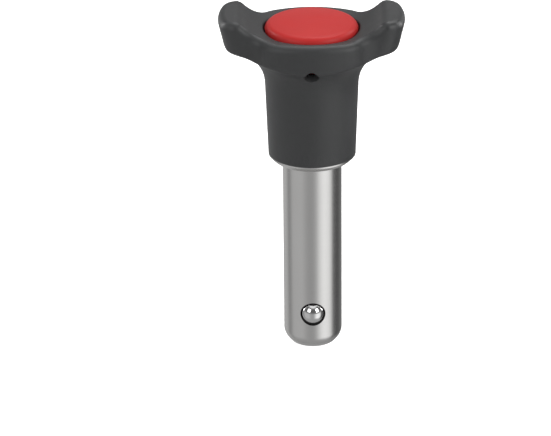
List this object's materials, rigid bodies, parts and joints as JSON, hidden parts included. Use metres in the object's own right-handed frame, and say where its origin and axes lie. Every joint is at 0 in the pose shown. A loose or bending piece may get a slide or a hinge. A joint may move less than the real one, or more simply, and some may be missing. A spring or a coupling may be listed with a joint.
{
  "type": "ball lock pin",
  "caption": "Ball lock pin with a moulded T grip: pressing the button lets the sprung locking balls sink into the shank, so the pin can be pushed in or pulled out.",
  "frame": {"origin": "middle of the tip's flat end face, where the pin's axis meets it", "axes": "+Z along the pin's axis from the tip to the button, X along the grip's two wings, -Y towards the front ball and the lanyard hole"},
  "size_m": [0.0496, 0.0324, 0.0962],
  "materials": {
    "grip": "dark grey glass-filled nylon, fine satin moulded surface",
    "button": "red satin plastic",
    "ground_steel": "stainless steel, ground around the shank",
    "ball_steel": "polished bearing balls",
    "turned_steel": "plain turned steel",
    "spring_steel": "drawn spring wire"
  },
  "bodies": {
    "pin": {"shank": "ground_steel", "grip": "grip", "locknut": "turned_steel", "spring": "spring_steel"},
    "plunger": {"button": "button", "spindle": "turned_steel"},
    "front_ball": {"ball_front": "ball_steel"},
    "rear_ball": {"ball_rear": "ball_steel"}
  },
  "joints": [
    {"name": "button_press", "type": "slide", "parent": "pin", "child": "plunger", "axis": [0, 0, -1], "range_m": [0, 0.0055], "stiffness_N_per_m": 1200, "springref_m": -0.01, "deforming": ["spring"]},
    {"name": "ball_front", "type": "slide", "parent": "pin", "child": "front_ball", "axis": [0, 1, 0], "range_m": [0, 0.00154]},
    {"name": "ball_rear", "type": "slide", "parent": "pin", "child": "rear_ball", "axis": [0, -1, 0], "range_m": [0, 0.00154]}
  ],
  "couplings": [
    {"joint": "ball_front", "follows": "button_press", "ratio": 0.28},
    {"joint": "ball_rear", "follows": "button_press", "ratio": 0.28}
  ]
}
